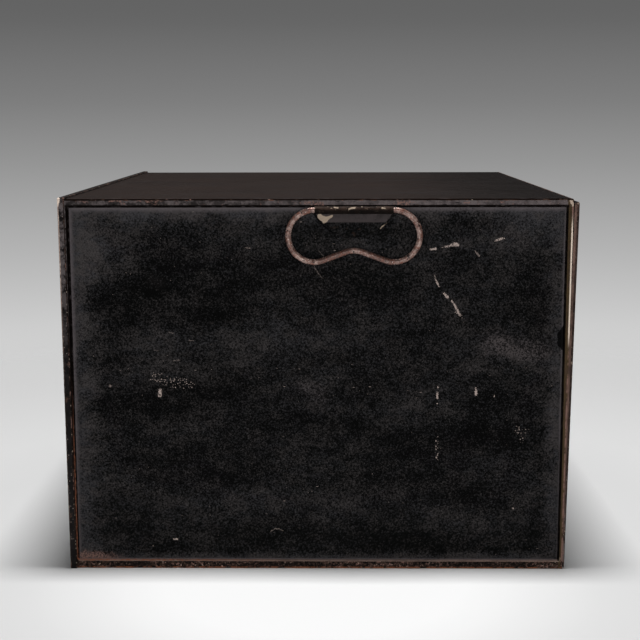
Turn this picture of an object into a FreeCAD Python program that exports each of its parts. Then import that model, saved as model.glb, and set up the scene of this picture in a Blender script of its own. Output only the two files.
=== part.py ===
import FreeCAD, Part
import math
import os

from FreeCAD import Vector

# A japanned sheet-iron deed box with a front that falls forward on a wired hinge.
# Millimetres. +X is the front (the falling door), +Z is up, and the side with -Y is the left side.
# The origin is on the floor under the middle of the case.

# --- the case ---
case_depth = 415.0         # back face of the back cap to the front edge of the sides
case_width = 450.0         # outside of the left rim to outside of the right rim
case_height = 311.0        # floor to the top sheet
sheet = 0.8                # gauge of every plate
top_rim = 5.4              # rim of a side above its sunk panel
bottom_rim = 6.4           # rim below the panel
back_rim = 7.0             # rim behind the panel, most of it under the back cap
front_rim = 4.4            # rim in front of the panel, beside the door
window_spread = 1.3        # how much narrower both upright rims are at the foot
side_recess = 4.0          # how deep the side panels lie behind their rims
window_corner = 2.0        # corner radius of the sunk panels
rim_fold = 0.6             # rounding where a rim is folded in to its panel
seam_lap = 8.0             # turned-in laps that are soldered to the next plate
cap_lap = 5.6              # how far the back cap reaches over the top and the sides
cap_bend = 1.4             # rounding of the back cap's outer folds
hem_round = 1.1            # rounding of its hemmed front edge

# --- the opening at the front ---
header_leg = 13.0          # flat leg of the header and the sill
header_drop = 8.0          # how far the header's lip hangs below the top sheet
sill_rise = 13.0           # how far the sill stands above the bottom sheet
frame_setback = 7.0        # front edge of the case to the header's lip and the sill
frame_end_gap = 1.5        # between the ends of header and sill and the side laps

# --- the falling door ---
door_gap = 0.2             # between the shut door and the front edge of the case
door_fit = 0.5             # around the door's tray, inside the rims
door_inset = 0.3           # the door's skin is this much smaller than the case on each side
door_top_inset = 2.7       # and this much lower at the top
door_foot_gap = 0.6        # floor to the skin's lower corners, beside the hinge
hem_width = 6.0            # folded edge of the skin
door_corner = 2.5          # rounding of the door's corners
tray_depth = 2.0           # how far the tray reaches into the case when shut
tray_bottom = 8.0          # height of the tray's lower flange
rest_ajar = 0.6            # degrees that the door stands open at rest

# --- the wired hinge along the bottom ---
hinge_wire_radius = 1.6
hinge_clearance = 0.05     # radial, between wire and knuckles
hinge_end_inset = 36.0     # side of the case to the first knuckle
knuckle_count = 11
knuckle_gap = 0.6          # between neighbouring knuckles
knuckle_relief = 0.6       # between a knuckle and the edge cut away for it
roll_slit = 0.3            # slit where a rolled knuckle meets its plate
wire_overhang = 1.5        # wire past the last knuckle

# --- the lock ---
lock_width = 60.0
lock_height = 45.0
lock_depth = 17.0
lock_wall = 1.2
lock_ear = 9.0             # fixing ears at both sides of the lock
lock_drop = 14.0           # top sheet to the top of the lock
key_drop = 26.0            # top of the lock to the middle of the key post
bolt_width = 24.0
bolt_thickness = 4.0
bolt_stand = 3.0           # how far the drawn bolt stands out of the lock
bolt_throw = 6.0
bolt_slack = 0.4           # bolt to strike with the door ajar
bolt_guide = 0.3           # around the bolt in its slot
strike_width = 48.0
strike_thickness = 1.5
key_post_radius = 1.5
key_hole_radius = 3.7
key_slot_width = 3.6
key_slot_drop = 9.0
tumbler_thickness = 1.2
tumbler_post_radius = 2.0
tumbler_reach = 31.0       # post to the free end of the tumbler
rivet_radius = 1.6
rivet_head_radius = 2.8
rivet_head_height = 1.1

# --- the escutcheon and its drop cover ---
plate_width = 22.0
plate_height = 40.0
plate_thickness = 1.0
cover_width = 15.0
cover_thickness = 1.0
cover_lift = 0.3           # between escutcheon and cover
cover_pin_radius = 1.3
cover_pin_head = 2.4
cover_pin_rise = 13.5      # key post to the cover's pin
cover_drop = 24.0          # pin to the rounded lower end's centre
pin_clearance = 0.05

# --- the bail handles ---
handle_offset = 31.5       # middle of the case to the middle of a handle, towards the front
handle_wire_radius = 2.4
handle_clearance = 0.05    # radial, between wire and rolled tube
tube_length = 63.6
tube_wall = 0.75
tube_rim_gap = 0.2         # rim to tube
tube_stand = 0.1           # tube to the sunk panel
lobe_radius = 21.0         # centre line of each round lobe of the bail
lobe_start = 0.4           # tube end to the start of the lobe
pinch_drop = 32.8          # tube axis to the middle of the pinched run
pinch_radius = 20.0
wire_butt = 0.3            # gap between the two wire ends, hidden in the tube
half_moon_width = 65.0     # chord of the half-moon plate
half_moon_drop = 23.0      # tube axis to the lowest point of the half-moon
half_moon_chord = 4.0      # tube axis to the chord's ends
half_moon_stand = 3.0      # how far its land stands off the panel
half_moon_crease = 10.0    # tube axis to the crease below the land
half_moon_edge = 0.9       # how far its lowest edge stands off the panel

# --- worked out ---
half_depth = case_depth / 2
half_width = case_width / 2
front = half_depth
back = -half_depth
cap_proud = 2 * sheet
window_x = (back + back_rim, front - front_rim)
window_z = (bottom_rim, case_height - top_rim)
door_back = front + door_gap
skin_back = door_back + sheet
skin_front = skin_back + sheet
knuckle_bore = hinge_wire_radius + hinge_clearance
knuckle_radius = knuckle_bore + sheet
hinge_x = skin_back + knuckle_radius
hinge_z = knuckle_radius
skin_bottom = door_foot_gap
skin_cutout = 2 * knuckle_radius + knuckle_relief
skin_top = case_height - door_top_inset
tray_back = front - tray_depth
tray_half_width = half_width - sheet - door_fit
tray_top = skin_top - door_fit
strike_back = front - frame_setback - sheet - strike_thickness
ajar_shift = (case_height - hinge_z) * math.sin(math.radians(rest_ajar))
bolt_front = strike_back - ajar_shift - bolt_slack
lock_top = case_height - lock_drop
key_z = lock_top - key_drop
panel_face = half_width - side_recess
tube_radius = handle_wire_radius + handle_clearance + tube_wall
tube_y = panel_face + tube_radius + tube_stand
tube_z = case_height - top_rim - tube_rim_gap - tube_radius

parts = {}


def block(x0, x1, y0, y1, z0, z1):
    return Part.makeBox(x1 - x0, y1 - y0, z1 - z0, Vector(x0, y0, z0))


def rod(radius, start, direction, length):
    return Part.makeCylinder(radius, length, Vector(*start), Vector(*direction))


def round_block(x0, x1, y0, y1, z0, z1, radius, along):
    """A block whose edges along one axis are rounded."""
    body = block(x0, x1, y0, y1, z0, z1)
    edges = [e for e in body.Edges if abs(abs(e.tangentAt(e.FirstParameter).dot(along)) - 1) < 1e-6]
    return body.makeFillet(radius, edges)


def edges_where(body, test):
    """Edges whose two ends both pass the test."""
    return [e for e in body.Edges if all(test(v.Point) for v in e.Vertexes)]


def mirror_side(body):
    return body.mirror(Vector(0, 0, 0), Vector(0, 1, 0))


def keyhole(x0, x1):
    """The keyhole as a cutter between two values of x: a round top with a slot below."""
    top = rod(key_hole_radius, (x0, 0, key_z), (1, 0, 0), x1 - x0)
    slot = block(x0, x1, -key_slot_width / 2, key_slot_width / 2, key_z - key_slot_drop, key_z)
    return top.fuse(slot)


def rivet(x0, x1, y, z):
    """A rivet along x through plates from x0 to x1, turned about its axis, with two bevelled heads."""
    rise, rim, crown = rivet_head_height, rivet_head_radius, rivet_radius * 0.8
    half = [(x0 - rise, 0), (x0 - rise, crown), (x0, rim), (x0, rivet_radius)]
    other = [(x0 + x1 - x, r) for x, r in reversed(half)]
    points = [Vector(x, y + r, z) for x, r in half + other]
    return Part.Face(Part.makePolygon(points + points[:1])).revolve(Vector(x0, y, z), Vector(1, 0, 0), 360)


# --- case plates ---
def make_top_sheet():
    body = block(back + sheet, front, -half_width, half_width, case_height - sheet, case_height)
    long_edges = edges_where(body, lambda p: abs(abs(p.y) - half_width) < 1e-6
                             and abs(p.z - case_height) < 1e-6)
    return body.makeFillet(rim_fold, long_edges)


def window_block(margin, y0, y1):
    """A block over a sunk panel's window, a little wider at the foot, with rounded corners."""
    x0, x1 = window_x[0] - margin, window_x[1] + margin
    z0, z1 = window_z[0] - margin, window_z[1] + margin
    corners = [Vector(x0 - window_spread, y0, z0), Vector(x1 + window_spread, y0, z0),
               Vector(x1, y0, z1), Vector(x0, y0, z1)]
    body = Part.Face(Part.makePolygon(corners + corners[:1])).extrude(Vector(0, y1 - y0, 0))
    across = [e for e in body.Edges if abs(e.Vertexes[0].Y - e.Vertexes[-1].Y) > 1e-6]
    return body.makeFillet(window_corner + margin, across)


def make_side_pan():
    """Left side: a rim flush with the case's outside and a panel sunk behind it."""
    outside = -half_width
    rim = block(back + sheet, front, outside, outside + sheet, 0, case_height - sheet)
    sunk = window_block(sheet, outside, outside + side_recess + sheet)
    hollow = window_block(0, outside - 1, outside + side_recess)
    body = rim.fuse(sunk).cut(hollow)

    def on_window(p):
        inside_x = window_x[0] - window_spread - 0.01 < p.x < window_x[1] + window_spread + 0.01
        inside_z = window_z[0] - 0.01 < p.z < window_z[1] + 0.01
        return abs(p.y - outside) < 1e-6 and inside_x and inside_z

    body = body.makeFillet(rim_fold, edges_where(body, on_window))
    lap_end = window_x[1]
    laps = [
        block(back + sheet, lap_end, outside, outside + seam_lap,
              case_height - 2 * sheet, case_height - sheet),
        block(back + sheet, lap_end, outside + sheet, outside + seam_lap, sheet, 2 * sheet),
        block(back + sheet, back + 2 * sheet, outside, outside + seam_lap, 2 * sheet,
              case_height - sheet),
    ]
    return body.fuse(laps).removeSplitter()


def make_back_cap():
    """Back plate whose hemmed edges reach over the top sheet and both sides."""
    y1 = half_width + cap_proud
    z1 = case_height + cap_proud
    outer = block(back, back + cap_lap, -y1, y1, 0, z1)
    outer = outer.makeFillet(cap_bend, [e for e in outer.Edges if outer_fold(e, y1)])
    inner = block(back + sheet, back + cap_lap + 1, -half_width, half_width, -1, case_height)
    body = outer.cut(inner)
    hem = [e for e in body.Edges if hem_edge(e, y1, z1)]
    body = body.makeFillet(hem_round, hem)
    clear = half_width - seam_lap - frame_end_gap
    lap = block(back + sheet, back + seam_lap, -clear, clear, sheet, 2 * sheet)
    tie = block(back + sheet, back + 2 * sheet, -clear, clear, sheet, 2 * sheet + seam_lap)
    return body.fuse([lap, tie]).removeSplitter()


def outer_fold(edge, y1):
    """The folds around the cap's back face, apart from its foot, and its two top corners."""
    a, b = (v.Point for v in edge.Vertexes)
    on_back = abs(a.x - back) < 1e-6 and abs(b.x - back) < 1e-6
    corner = abs(a.x - b.x) > 1 and abs(abs(a.y) - y1) < 1e-6
    return (on_back or corner) and max(a.z, b.z) > 1


def hem_edge(edge, y1, z1):
    """The outer edges of the cap's hem, at its front."""
    front_of_cap = back + cap_lap
    ends = [v.Point for v in edge.Vertexes]
    if any(abs(p.x - front_of_cap) > 1e-6 for p in ends):
        return False
    outside = all(abs(p.y) > y1 - cap_bend - 0.01 or abs(p.z - z1) < cap_bend + 0.01 for p in ends)
    on_skin = all(abs(abs(p.y) - y1) < cap_bend + 0.01 and abs(abs(p.y) - half_width) > 1e-6
                  or abs(p.z - z1) < 1e-6 for p in ends)
    along = edge.Length > 1 and not all(abs(p.z) < 1e-6 for p in ends)
    return outside and on_skin and along


def hinge_slots():
    """(low y, high y) of each knuckle, counted from the left; even ones belong to the case."""
    start = -half_width + hinge_end_inset
    pitch = (case_width - 2 * hinge_end_inset) / knuckle_count
    spans = []
    for i in range(knuckle_count):
        y0 = start + i * pitch + knuckle_gap / 2
        spans.append((y0, y0 + pitch - knuckle_gap))
    return spans


def knuckle(y0, y1):
    """A ring rolled from plate around the hinge wire."""
    centre = (hinge_x, y0, hinge_z)
    ring = rod(knuckle_radius, centre, (0, 1, 0), y1 - y0)
    return ring


def knuckle_bores(body, spans):
    for y0, y1 in spans:
        body = body.cut(rod(knuckle_bore, (hinge_x, y0 - 0.1, hinge_z), (0, 1, 0), y1 - y0 + 0.2))
    return body


def make_bottom_sheet():
    body = block(back + sheet, front, -half_width + sheet, half_width - sheet, 0, sheet)
    spans = hinge_slots()[0::2]
    for y0, y1 in spans:
        tongue = block(front - 1, hinge_x, y0, y1, 0, sheet)
        body = body.fuse([tongue, knuckle(y0, y1)])
    body = knuckle_bores(body, spans)
    for y0, y1 in spans:
        slit_z = hinge_z - knuckle_radius + sheet
        body = body.cut(block(hinge_x - knuckle_radius - 0.1, hinge_x - knuckle_bore * 0.6,
                              y0, y1, slit_z, slit_z + roll_slit))
    return body.removeSplitter()


def make_hinge_wire():
    y0 = -half_width + hinge_end_inset - wire_overhang
    wire = rod(hinge_wire_radius, (hinge_x, y0, hinge_z), (0, 1, 0), -2 * y0)
    return wire.makeChamfer(0.4, [e for e in wire.Edges if isinstance(e.Curve, Part.Circle)])


def frame_angle(z_sheet, up):
    """Header or sill: a flat leg soldered to its sheet and a lip across the opening."""
    reach = half_width - seam_lap - frame_end_gap
    lip_front = front - frame_setback
    if up:
        leg = block(lip_front - header_leg, lip_front, -reach, reach, z_sheet, z_sheet + sheet)
        lip = block(lip_front - sheet, lip_front, -reach, reach, z_sheet, z_sheet + sill_rise)
    else:
        leg = block(lip_front - header_leg, lip_front, -reach, reach, z_sheet - sheet, z_sheet)
        lip = block(lip_front - sheet, lip_front, -reach, reach, z_sheet - header_drop, z_sheet)
    return leg.fuse(lip).removeSplitter()


def make_front_header():
    body = frame_angle(case_height - sheet, False)
    for y, z in strike_rivet_places():
        body = body.cut(rod(rivet_radius, (strike_back, y, z), (1, 0, 0), 10))
    return body


def make_front_sill():
    return frame_angle(sheet, True)


def strike_rivet_places():
    z = case_height - sheet - header_drop / 2
    offset = strike_width / 2 - 2 * rivet_radius - 2
    return [(-offset, z), (offset, z)]


def make_lock_strike():
    half = strike_width / 2
    low = case_height - sheet - header_drop
    body = block(strike_back, strike_back + strike_thickness, -half, half, low,
                 case_height - 2 * sheet)
    for y, z in strike_rivet_places():
        body = body.cut(rod(rivet_radius, (strike_back - 1, y, z), (1, 0, 0), 10))
    return body


def make_strike_rivets():
    lip_front = front - frame_setback
    rivets = [rivet(strike_back, lip_front, y, z) for y, z in strike_rivet_places()]
    return Part.makeCompound(rivets)


# --- handles ---
def half_moon(inset):
    """The half-moon plate's outer form, or with an inset the hollow behind it, for the left side."""
    rise = half_moon_drop - half_moon_chord
    arc = ((half_moon_width / 2) ** 2 + rise ** 2) / (2 * rise)
    centre_z = tube_z - half_moon_drop + arc
    stand = half_moon_stand - inset
    base = -panel_face
    cone = Part.makeCone(arc - inset, arc - inset - stand * 0.7, stand,
                         Vector(handle_offset, base, centre_z), Vector(0, -1, 0))
    top = tube_z - tube_radius + tube_wall / 2
    low = tube_z - half_moon_drop - 1
    crease = tube_z - half_moon_crease
    edge = half_moon_edge - inset
    slope = (stand - edge) / (half_moon_drop - half_moon_crease)
    tail = stand - slope * (crease - low)
    profile = [Vector(0, base + 1, top), Vector(0, base - stand, top), Vector(0, base - stand, crease),
               Vector(0, base - tail, low), Vector(0, base + 1, low)]
    face = Part.Face(Part.makePolygon(profile + profile[:1]))
    wedge = face.extrude(Vector(half_moon_width + 10, 0, 0))
    wedge.translate(Vector(handle_offset - half_moon_width / 2 - 5, 0, 0))
    return cone.common(wedge)


def make_handle_plate():
    """A half-moon of plate, soldered to the panel, with its top edge rolled into a tube."""
    shell = half_moon(0).cut(half_moon(tube_wall))
    x0 = handle_offset - tube_length / 2
    tube = rod(tube_radius, (x0, -tube_y, tube_z), (1, 0, 0), tube_length)
    body = shell.fuse(tube)
    bore = rod(handle_wire_radius + handle_clearance, (x0 - 1, -tube_y, tube_z), (1, 0, 0),
               tube_length + 2)
    return body.cut(bore).removeSplitter()


def handle_path():
    """Centre line of one bail in its own plane, from one end in the tube round to the other."""
    lobe_x = tube_length / 2 + lobe_start
    run = Vector(lobe_x, 0, pinch_drop + pinch_radius - lobe_radius)
    reach = run.Length
    bend = lobe_radius + pinch_radius
    line_angle = math.atan2(run.z, run.x) - math.asin(bend / reach)
    turn = -line_angle

    def at(x, drop):
        return Vector(handle_offset + x, -tube_y, tube_z - drop)

    def lobe_point(angle):
        """Angle from straight down, growing towards the middle of the handle."""
        return at(-lobe_x + lobe_radius * math.sin(angle), lobe_radius + lobe_radius * math.cos(angle))

    def pinch_point(angle):
        return at(-pinch_radius * math.sin(angle), pinch_drop + pinch_radius * (1 - math.cos(angle)))

    def flip(p):
        return Vector(2 * handle_offset - p.x, p.y, p.z)

    start, top, bottom = at(-wire_butt / 2, 0), at(-lobe_x, 0), lobe_point(turn)
    left_pinch = pinch_point(turn)
    edges = [
        Part.LineSegment(start, top).toShape(),
        Part.Arc(top, lobe_point(-math.pi / 2), bottom).toShape(),
        Part.LineSegment(bottom, left_pinch).toShape(),
        Part.Arc(left_pinch, at(0, pinch_drop), flip(left_pinch)).toShape(),
        Part.LineSegment(flip(left_pinch), flip(bottom)).toShape(),
        Part.Arc(flip(bottom), flip(lobe_point(-math.pi / 2)), flip(top)).toShape(),
        Part.LineSegment(flip(top), flip(start)).toShape(),
    ]
    return Part.Wire(edges)


def make_handle():
    path = handle_path()
    start = path.OrderedVertexes[0].Point
    ring = Part.Wire(Part.makeCircle(handle_wire_radius, start, Vector(1, 0, 0)))
    return path.makePipeShell([ring], True, True)


# --- the door, modelled shut and swung to its rest afterwards ---
def make_door_skin():
    edge = half_width - door_inset
    along = Vector(1, 0, 0)
    plate = block(skin_back, skin_front, -edge, edge, skin_bottom, skin_top)
    hem = block(door_back, skin_back, -edge, edge, skin_cutout, skin_top)
    hem = hem.cut(block(door_back - 1, skin_back + 1, -edge + hem_width, edge - hem_width,
                        skin_cutout - 1, skin_top - hem_width))
    body = plate.fuse(hem).removeSplitter()
    top_corners = [e for e in body.Edges if abs(abs(e.tangentAt(e.FirstParameter).dot(along)) - 1) < 1e-6
                   and all(abs(v.Point.z - skin_top) < 1e-6 for v in e.Vertexes)
                   and all(abs(abs(v.Point.y) - edge) < 1e-6 for v in e.Vertexes)]
    body = body.makeFillet(door_corner, top_corners)
    outline = [e for e in body.Edges if all(abs(v.Point.x - skin_front) < 1e-6 for v in e.Vertexes)]
    body = body.makeFillet(sheet * 0.7, outline)
    hinge_edge = half_width - hinge_end_inset + wire_overhang + knuckle_gap
    body = body.cut(block(front, hinge_x, -hinge_edge, hinge_edge, skin_bottom - 1, skin_cutout))
    spans = hinge_slots()[1::2]
    for y0, y1 in spans:
        tongue = block(skin_back, skin_front, y0, y1, hinge_z, skin_cutout + 1)
        body = body.fuse([tongue, knuckle(y0, y1)])
    body = knuckle_bores(body, spans)
    for y0, y1 in spans:
        slit_x = skin_front
        body = body.cut(block(slit_x, slit_x + roll_slit, y0, y1, hinge_z + knuckle_bore * 0.6,
                              hinge_z + knuckle_radius + 0.1))
    body = body.cut(keyhole(door_back - 1, skin_front + 1))
    for y, z, radius in skin_holes():
        body = body.cut(rod(radius, (door_back - 1, y, z), (1, 0, 0), 10))
    return body.removeSplitter()


def skin_holes():
    """Holes in the door's skin for the escutcheon's pins and the cover's pin."""
    holes = [(y, z, rivet_radius * 0.6) for y, z in escutcheon_pin_places()]
    return holes + [(0, key_z + cover_pin_rise, cover_pin_radius)]


def make_door_tray():
    body = round_block(tray_back, door_back, -tray_half_width, tray_half_width, tray_bottom, tray_top,
                       door_corner, Vector(1, 0, 0))
    hollow = round_block(tray_back + sheet, door_back + 1, -tray_half_width + sheet,
                         tray_half_width - sheet, tray_bottom + sheet, tray_top - sheet,
                         door_corner - sheet, Vector(1, 0, 0))
    body = body.cut(hollow).cut(keyhole(tray_back - 1, tray_back + sheet + 1))
    for y, z in lock_rivet_places():
        body = body.cut(rod(rivet_radius, (tray_back - 5, y, z), (1, 0, 0), 10))
    return body


def lock_rivet_places():
    y = lock_width / 2 + lock_ear / 2
    low = lock_top - lock_height + lock_ear
    high = lock_top - lock_ear
    return [(-y, low), (y, low), (-y, high), (y, high)]


def make_lock_case():
    """A shallow iron box with fixing ears, open at the back where the cap closes it."""
    half = lock_width / 2
    low = lock_top - lock_height
    rear = tray_back - lock_depth
    ears = block(tray_back - lock_wall, tray_back, -half - lock_ear, half + lock_ear, low, lock_top)
    body = block(rear + lock_wall, tray_back, -half, half, low, lock_top).fuse(ears)
    body = body.cut(block(rear, tray_back - lock_wall, -half + lock_wall, half - lock_wall,
                          low + lock_wall, lock_top - lock_wall))
    slot_half = bolt_width / 2 + bolt_guide
    body = body.cut(block(bolt_front - bolt_thickness - bolt_guide, bolt_front + bolt_guide,
                          -slot_half, slot_half, lock_top - lock_wall - 1, lock_top + 1))
    body = body.cut(keyhole(tray_back - lock_wall - 1, tray_back + 1))
    for y, z in lock_rivet_places():
        body = body.cut(rod(rivet_radius, (tray_back - 5, y, z), (1, 0, 0), 10))
    return body.removeSplitter()


def make_lock_cap():
    rear = tray_back - lock_depth
    half = lock_width / 2
    return round_block(rear, rear + lock_wall, -half, half, lock_top - lock_height, lock_top,
                       1.0, Vector(1, 0, 0))


def make_lock_rivets():
    rivets = [rivet(tray_back - lock_wall, tray_back + sheet, y, z) for y, z in lock_rivet_places()]
    return Part.makeCompound(rivets)


def make_key_post():
    rear = tray_back - lock_depth + lock_wall
    return rod(key_post_radius, (rear, 0, key_z), (1, 0, 0), skin_back - rear)


def tumbler_post_place():
    return (-lock_width / 2 + lock_wall + 2 * tumbler_post_radius + 2, key_z + 7)


def make_tumbler_post():
    y, z = tumbler_post_place()
    rear = tray_back - lock_depth + lock_wall
    return rod(tumbler_post_radius, (rear, y, z), (1, 0, 0), tray_back - lock_wall - rear)


def make_tumbler():
    """A lever beside the bolt: an eye on its post and a belly that the key lifts."""
    y, z = tumbler_post_place()
    x0 = bolt_front + 0.6
    x1 = x0 + tumbler_thickness
    eye_radius = tumbler_post_radius + 2
    eye = rod(eye_radius, (x0, y, z), (1, 0, 0), tumbler_thickness)
    arm = block(x0, x1, y, y + tumbler_reach, z - 2.5, z + 2.5)
    belly = rod(7.0, (x0, y + tumbler_reach * 0.62, z + 3.6), (1, 0, 0), tumbler_thickness)
    belly = belly.common(block(x0, x1, y, y + tumbler_reach, z - 4, z + 2.5))
    body = eye.fuse([arm, belly])
    return body.cut(rod(tumbler_post_radius + pin_clearance, (x0 - 1, y, z), (1, 0, 0), 5)).removeSplitter()


def make_lock_bolt():
    """The bolt: a head through the top of the lock, a body with the key's notch, and a tail."""
    x0 = bolt_front - bolt_thickness
    half = bolt_width / 2
    head = block(x0, bolt_front, -half, half, lock_top - 10, lock_top + bolt_stand)
    crown = edges_where(head, lambda p: abs(p.z - lock_top - bolt_stand) < 1e-6)
    head = head.makeFillet(0.8, crown)
    plate = block(x0 + 1.2, bolt_front, -half, half + 2, key_z + 4, lock_top - 10)
    notch = rod(3.2, (x0, 0, key_z + 4), (1, 0, 0), bolt_thickness)
    tail_low = lock_top - lock_height + lock_wall + 1
    tail = block(x0 + 1.2, bolt_front, half - 3, half + 2, tail_low, key_z + 5)
    return head.fuse([plate, tail]).cut(notch).removeSplitter()


def escutcheon_pin_places():
    return [(0, key_z - plate_height / 2 + 4.5), (0, key_z + plate_height / 2 - 0.8)]


def escutcheon_outline(width, height, x0, x1):
    """An upright oval plate with straight sides, centred a little above the keyhole."""
    half = width / 2
    middle = key_z + 2
    body = block(x0, x1, -half, half, middle - height / 2 + half, middle + height / 2 - half)
    for z in (middle - height / 2 + half, middle + height / 2 - half):
        body = body.fuse(rod(half, (x0, 0, z), (1, 0, 0), x1 - x0))
    return body.removeSplitter()


def make_escutcheon():
    x0, x1 = skin_front, skin_front + plate_thickness
    body = escutcheon_outline(plate_width, plate_height, x0, x1)
    rim = [e for e in body.Edges if all(abs(v.Point.x - x1) < 1e-6 for v in e.Vertexes)]
    body = body.makeChamfer(plate_thickness * 0.4, rim)
    body = body.cut(keyhole(x0 - 1, x1 + 1))
    for y, z, radius in skin_holes():
        body = body.cut(rod(radius, (x0 - 1, y, z), (1, 0, 0), 5))
    return body


def make_escutcheon_pins():
    length = skin_front + plate_thickness - skin_back
    pins = [rod(rivet_radius * 0.6, (skin_back, y, z), (1, 0, 0), length)
            for y, z in escutcheon_pin_places()]
    return Part.makeCompound(pins)


def make_cover_pin():
    """The headed pin that the keyhole cover hangs on."""
    z = key_z + cover_pin_rise
    cover_front = skin_front + plate_thickness + cover_lift + cover_thickness
    shaft = rod(cover_pin_radius, (skin_back, 0, z), (1, 0, 0), cover_front + cover_lift - skin_back)
    head = rod(cover_pin_head, (cover_front + cover_lift, 0, z), (1, 0, 0), 0.8)
    rim = [e for e in head.Edges if all(v.Point.x > cover_front + cover_lift + 0.5 for v in e.Vertexes)]
    return shaft.fuse(head.makeChamfer(0.4, rim)).removeSplitter()


def make_keyhole_cover():
    """A drop-shaped cover: a small eye that widens to a round end over the keyhole."""
    z = key_z + cover_pin_rise
    x0 = skin_front + plate_thickness + cover_lift
    x1 = x0 + cover_thickness
    eye_radius = cover_pin_head + 1.2
    end_radius = cover_width / 2
    low = z - cover_drop + end_radius
    spread = math.asin((end_radius - eye_radius) / (z - low))
    cos_s, sin_s = math.cos(spread), math.sin(spread)
    corners = [Vector(x0, -eye_radius * cos_s, z + eye_radius * sin_s),
               Vector(x0, eye_radius * cos_s, z + eye_radius * sin_s),
               Vector(x0, end_radius * cos_s, low + end_radius * sin_s),
               Vector(x0, -end_radius * cos_s, low + end_radius * sin_s)]
    web = Part.Face(Part.makePolygon(corners + corners[:1])).extrude(Vector(cover_thickness, 0, 0))
    body = web.fuse([rod(eye_radius, (x0, 0, z), (1, 0, 0), cover_thickness),
                     rod(end_radius, (x0, 0, low), (1, 0, 0), cover_thickness)]).removeSplitter()
    rim = [e for e in body.Edges if all(abs(v.Point.x - x1) < 1e-6 for v in e.Vertexes)]
    body = body.makeChamfer(0.3, rim)
    return body.cut(rod(cover_pin_radius + pin_clearance, (x0 - 1, 0, z), (1, 0, 0), 5))


def ajar(body):
    """Swing a piece of the shut door about the hinge wire to the door's rest."""
    turned = body.copy()
    turned.rotate(Vector(hinge_x, 0, hinge_z), Vector(0, 1, 0), rest_ajar)
    return turned


parts["top_sheet"] = make_top_sheet()
parts["bottom_sheet"] = make_bottom_sheet()
parts["back_cap"] = make_back_cap()
parts["left_side_pan"] = make_side_pan()
parts["right_side_pan"] = mirror_side(parts["left_side_pan"])
parts["front_header"] = make_front_header()
parts["front_sill"] = make_front_sill()
parts["lock_strike"] = make_lock_strike()
parts["strike_rivets"] = make_strike_rivets()
parts["hinge_wire"] = make_hinge_wire()
parts["left_handle_plate"] = make_handle_plate()
parts["right_handle_plate"] = mirror_side(parts["left_handle_plate"])
parts["left_handle"] = make_handle()
parts["right_handle"] = mirror_side(parts["left_handle"])
parts["door_skin"] = ajar(make_door_skin())
parts["door_tray"] = ajar(make_door_tray())
parts["lock_case"] = ajar(make_lock_case())
parts["lock_cap"] = ajar(make_lock_cap())
parts["lock_rivets"] = ajar(make_lock_rivets())
parts["key_post"] = ajar(make_key_post())
parts["tumbler_post"] = ajar(make_tumbler_post())
parts["tumbler"] = ajar(make_tumbler())
parts["lock_bolt"] = ajar(make_lock_bolt())
parts["escutcheon"] = ajar(make_escutcheon())
parts["escutcheon_pins"] = ajar(make_escutcheon_pins())
parts["cover_pin"] = ajar(make_cover_pin())
parts["keyhole_cover"] = ajar(make_keyhole_cover())

os.makedirs("parts", exist_ok=True)
for name, shape in parts.items():
    shape.exportStep("parts/" + name + ".step")
    print(name, "solids", len(shape.Solids), "valid", shape.isValid(), "volume", round(shape.Volume, 1))
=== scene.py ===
import math

import bpy
from mathutils import Matrix, Vector

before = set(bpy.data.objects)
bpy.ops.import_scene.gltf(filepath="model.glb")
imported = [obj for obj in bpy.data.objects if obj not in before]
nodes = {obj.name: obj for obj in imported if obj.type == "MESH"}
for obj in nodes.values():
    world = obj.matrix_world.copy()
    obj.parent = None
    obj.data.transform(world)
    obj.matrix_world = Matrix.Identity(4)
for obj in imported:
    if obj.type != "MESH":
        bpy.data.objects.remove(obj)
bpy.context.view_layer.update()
scene = bpy.context.scene
print("deed box loaded with", len(nodes), "nodes")

cameraSetup = {
    "place": (0.0153, -1.2095, 0.3794),     # metres
    "turn": 0.662,                          # degrees to the left
    "tilt": 9.613,                          # degrees downwards
    "roll": 0.120,
    "lens": 68.83, "sensor": 36.0,          # mm
    "clip": (0.01, 200.0),                  # metres
}


def makeCamera(setup):
    turn, tilt, roll = (math.radians(setup[key]) for key in ("turn", "tilt", "roll"))
    right = Vector((math.cos(turn), math.sin(turn), 0))
    ahead = Vector((-math.sin(turn), math.cos(turn), 0)) * math.cos(tilt)
    ahead.z = -math.sin(tilt)
    up = right.cross(ahead)
    right, up = (right * math.cos(roll) - up * math.sin(roll),
                 right * math.sin(roll) + up * math.cos(roll))
    data = bpy.data.cameras.new("boxCamera")
    data.lens, data.sensor_width = setup["lens"], setup["sensor"]
    data.clip_start, data.clip_end = setup["clip"]
    camera = bpy.data.objects.new("boxCamera", data)
    scene.collection.objects.link(camera)
    axes = Matrix((right, up, -ahead)).transposed().to_4x4()
    camera.matrix_world = Matrix.Translation(setup["place"]) @ axes
    scene.camera = camera


makeCamera(cameraSetup)
scene.view_settings.view_transform = "Standard"
print("camera placed")


def tone(red, green=None, blue=None):
    # a colour given in screen steps from 0 to 255, or one grey step, made linear
    steps = (red, red if green is None else green, red if blue is None else blue)
    linear = [(s / 255 / 12.92) if s <= 10 else ((s / 255 + 0.055) / 1.055) ** 2.4 for s in steps]
    return (*linear, 1.0)


flatFace = (0.985, 0.93)      # the largest part of a normal on a flat face, and on a rounded edge
tornEdge = (4.0, 0.68)        # detail and roughness of the noise behind patches with torn edges


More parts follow.
